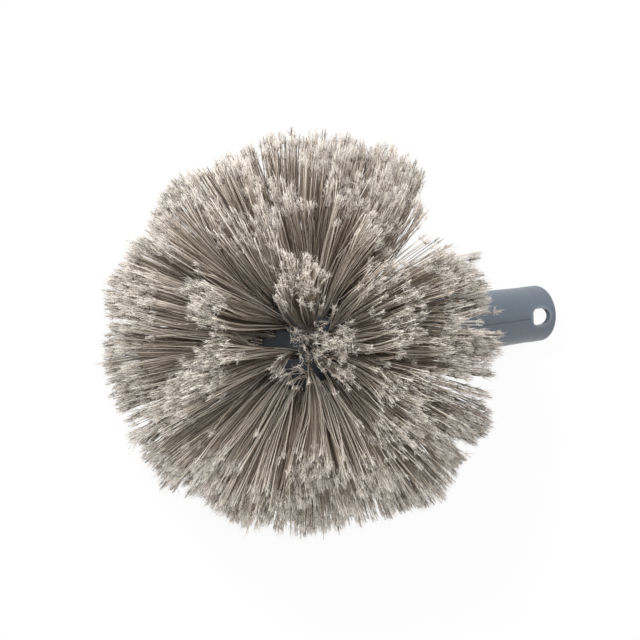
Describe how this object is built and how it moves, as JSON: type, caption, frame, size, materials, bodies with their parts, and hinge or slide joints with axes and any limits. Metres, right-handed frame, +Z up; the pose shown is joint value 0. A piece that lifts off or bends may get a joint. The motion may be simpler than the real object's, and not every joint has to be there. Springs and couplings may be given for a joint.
{
  "type": "cobweb brush",
  "caption": "Ball-shaped cobweb brush head: radial tufts of soft bristles in a round moulded block with a tapered pole socket and a hanging hole.",
  "frame": {"origin": "on the table, below the middle of the head's box as it lies", "axes": "+X from the bristle ball towards the socket's mouth, along the table; +Z up from the table"},
  "size_m": [0.2332, 0.1998, 0.1989],
  "materials": {
    "moulding": "satin moulded blue-grey plastic",
    "bristle": "dull greige synthetic bristle with pale split tips",
    "anchor_wire": "drawn flat wire"
  },
  "bodies": {
    "root": {"brush_block": "moulding", "tuft_anchors": "anchor_wire", "nose_tuft_1": "bristle", "nose_tuft_2": "bristle", "nose_tuft_3": "bristle", "nose_tuft_4": "bristle", "fore_tuft_1": "bristle", "fore_tuft_2": "bristle", "fore_tuft_3": "bristle", "fore_tuft_4": "bristle", "fore_tuft_5": "bristle", "fore_tuft_6": "bristle", "fore_tuft_7": "bristle", "front_tuft_1": "bristle", "front_tuft_2": "bristle", "front_tuft_3": "bristle", "front_tuft_4": "bristle", "front_tuft_5": "bristle", "front_tuft_6": "bristle", "front_tuft_7": "bristle", "front_tuft_8": "bristle", "front_tuft_9": "bristle", "front_tuft_10": "bristle", "front_tuft_11": "bristle", "middle_tuft_1": "bristle", "middle_tuft_2": "bristle", "middle_tuft_3": "bristle", "middle_tuft_4": "bristle", "middle_tuft_5": "bristle", "middle_tuft_6": "bristle", "middle_tuft_7": "bristle", "middle_tuft_8": "bristle", "middle_tuft_9": "bristle", "middle_tuft_10": "bristle", "middle_tuft_11": "bristle", "middle_tuft_12": "bristle", "rear_tuft_1": "bristle", "rear_tuft_2": "bristle", "rear_tuft_3": "bristle", "rear_tuft_4": "bristle", "rear_tuft_5": "bristle", "rear_tuft_6": "bristle", "rear_tuft_7": "bristle", "rear_tuft_8": "bristle", "rear_tuft_9": "bristle", "rear_tuft_10": "bristle", "rear_tuft_11": "bristle", "rear_tuft_12": "bristle", "back_tuft_1": "bristle", "back_tuft_2": "bristle", "back_tuft_3": "bristle", "back_tuft_4": "bristle", "back_tuft_5": "bristle", "back_tuft_6": "bristle", "back_tuft_7": "bristle", "back_tuft_8": "bristle", "back_tuft_9": "bristle", "back_tuft_10": "bristle", "back_tuft_11": "bristle"}
  },
  "joints": []
}
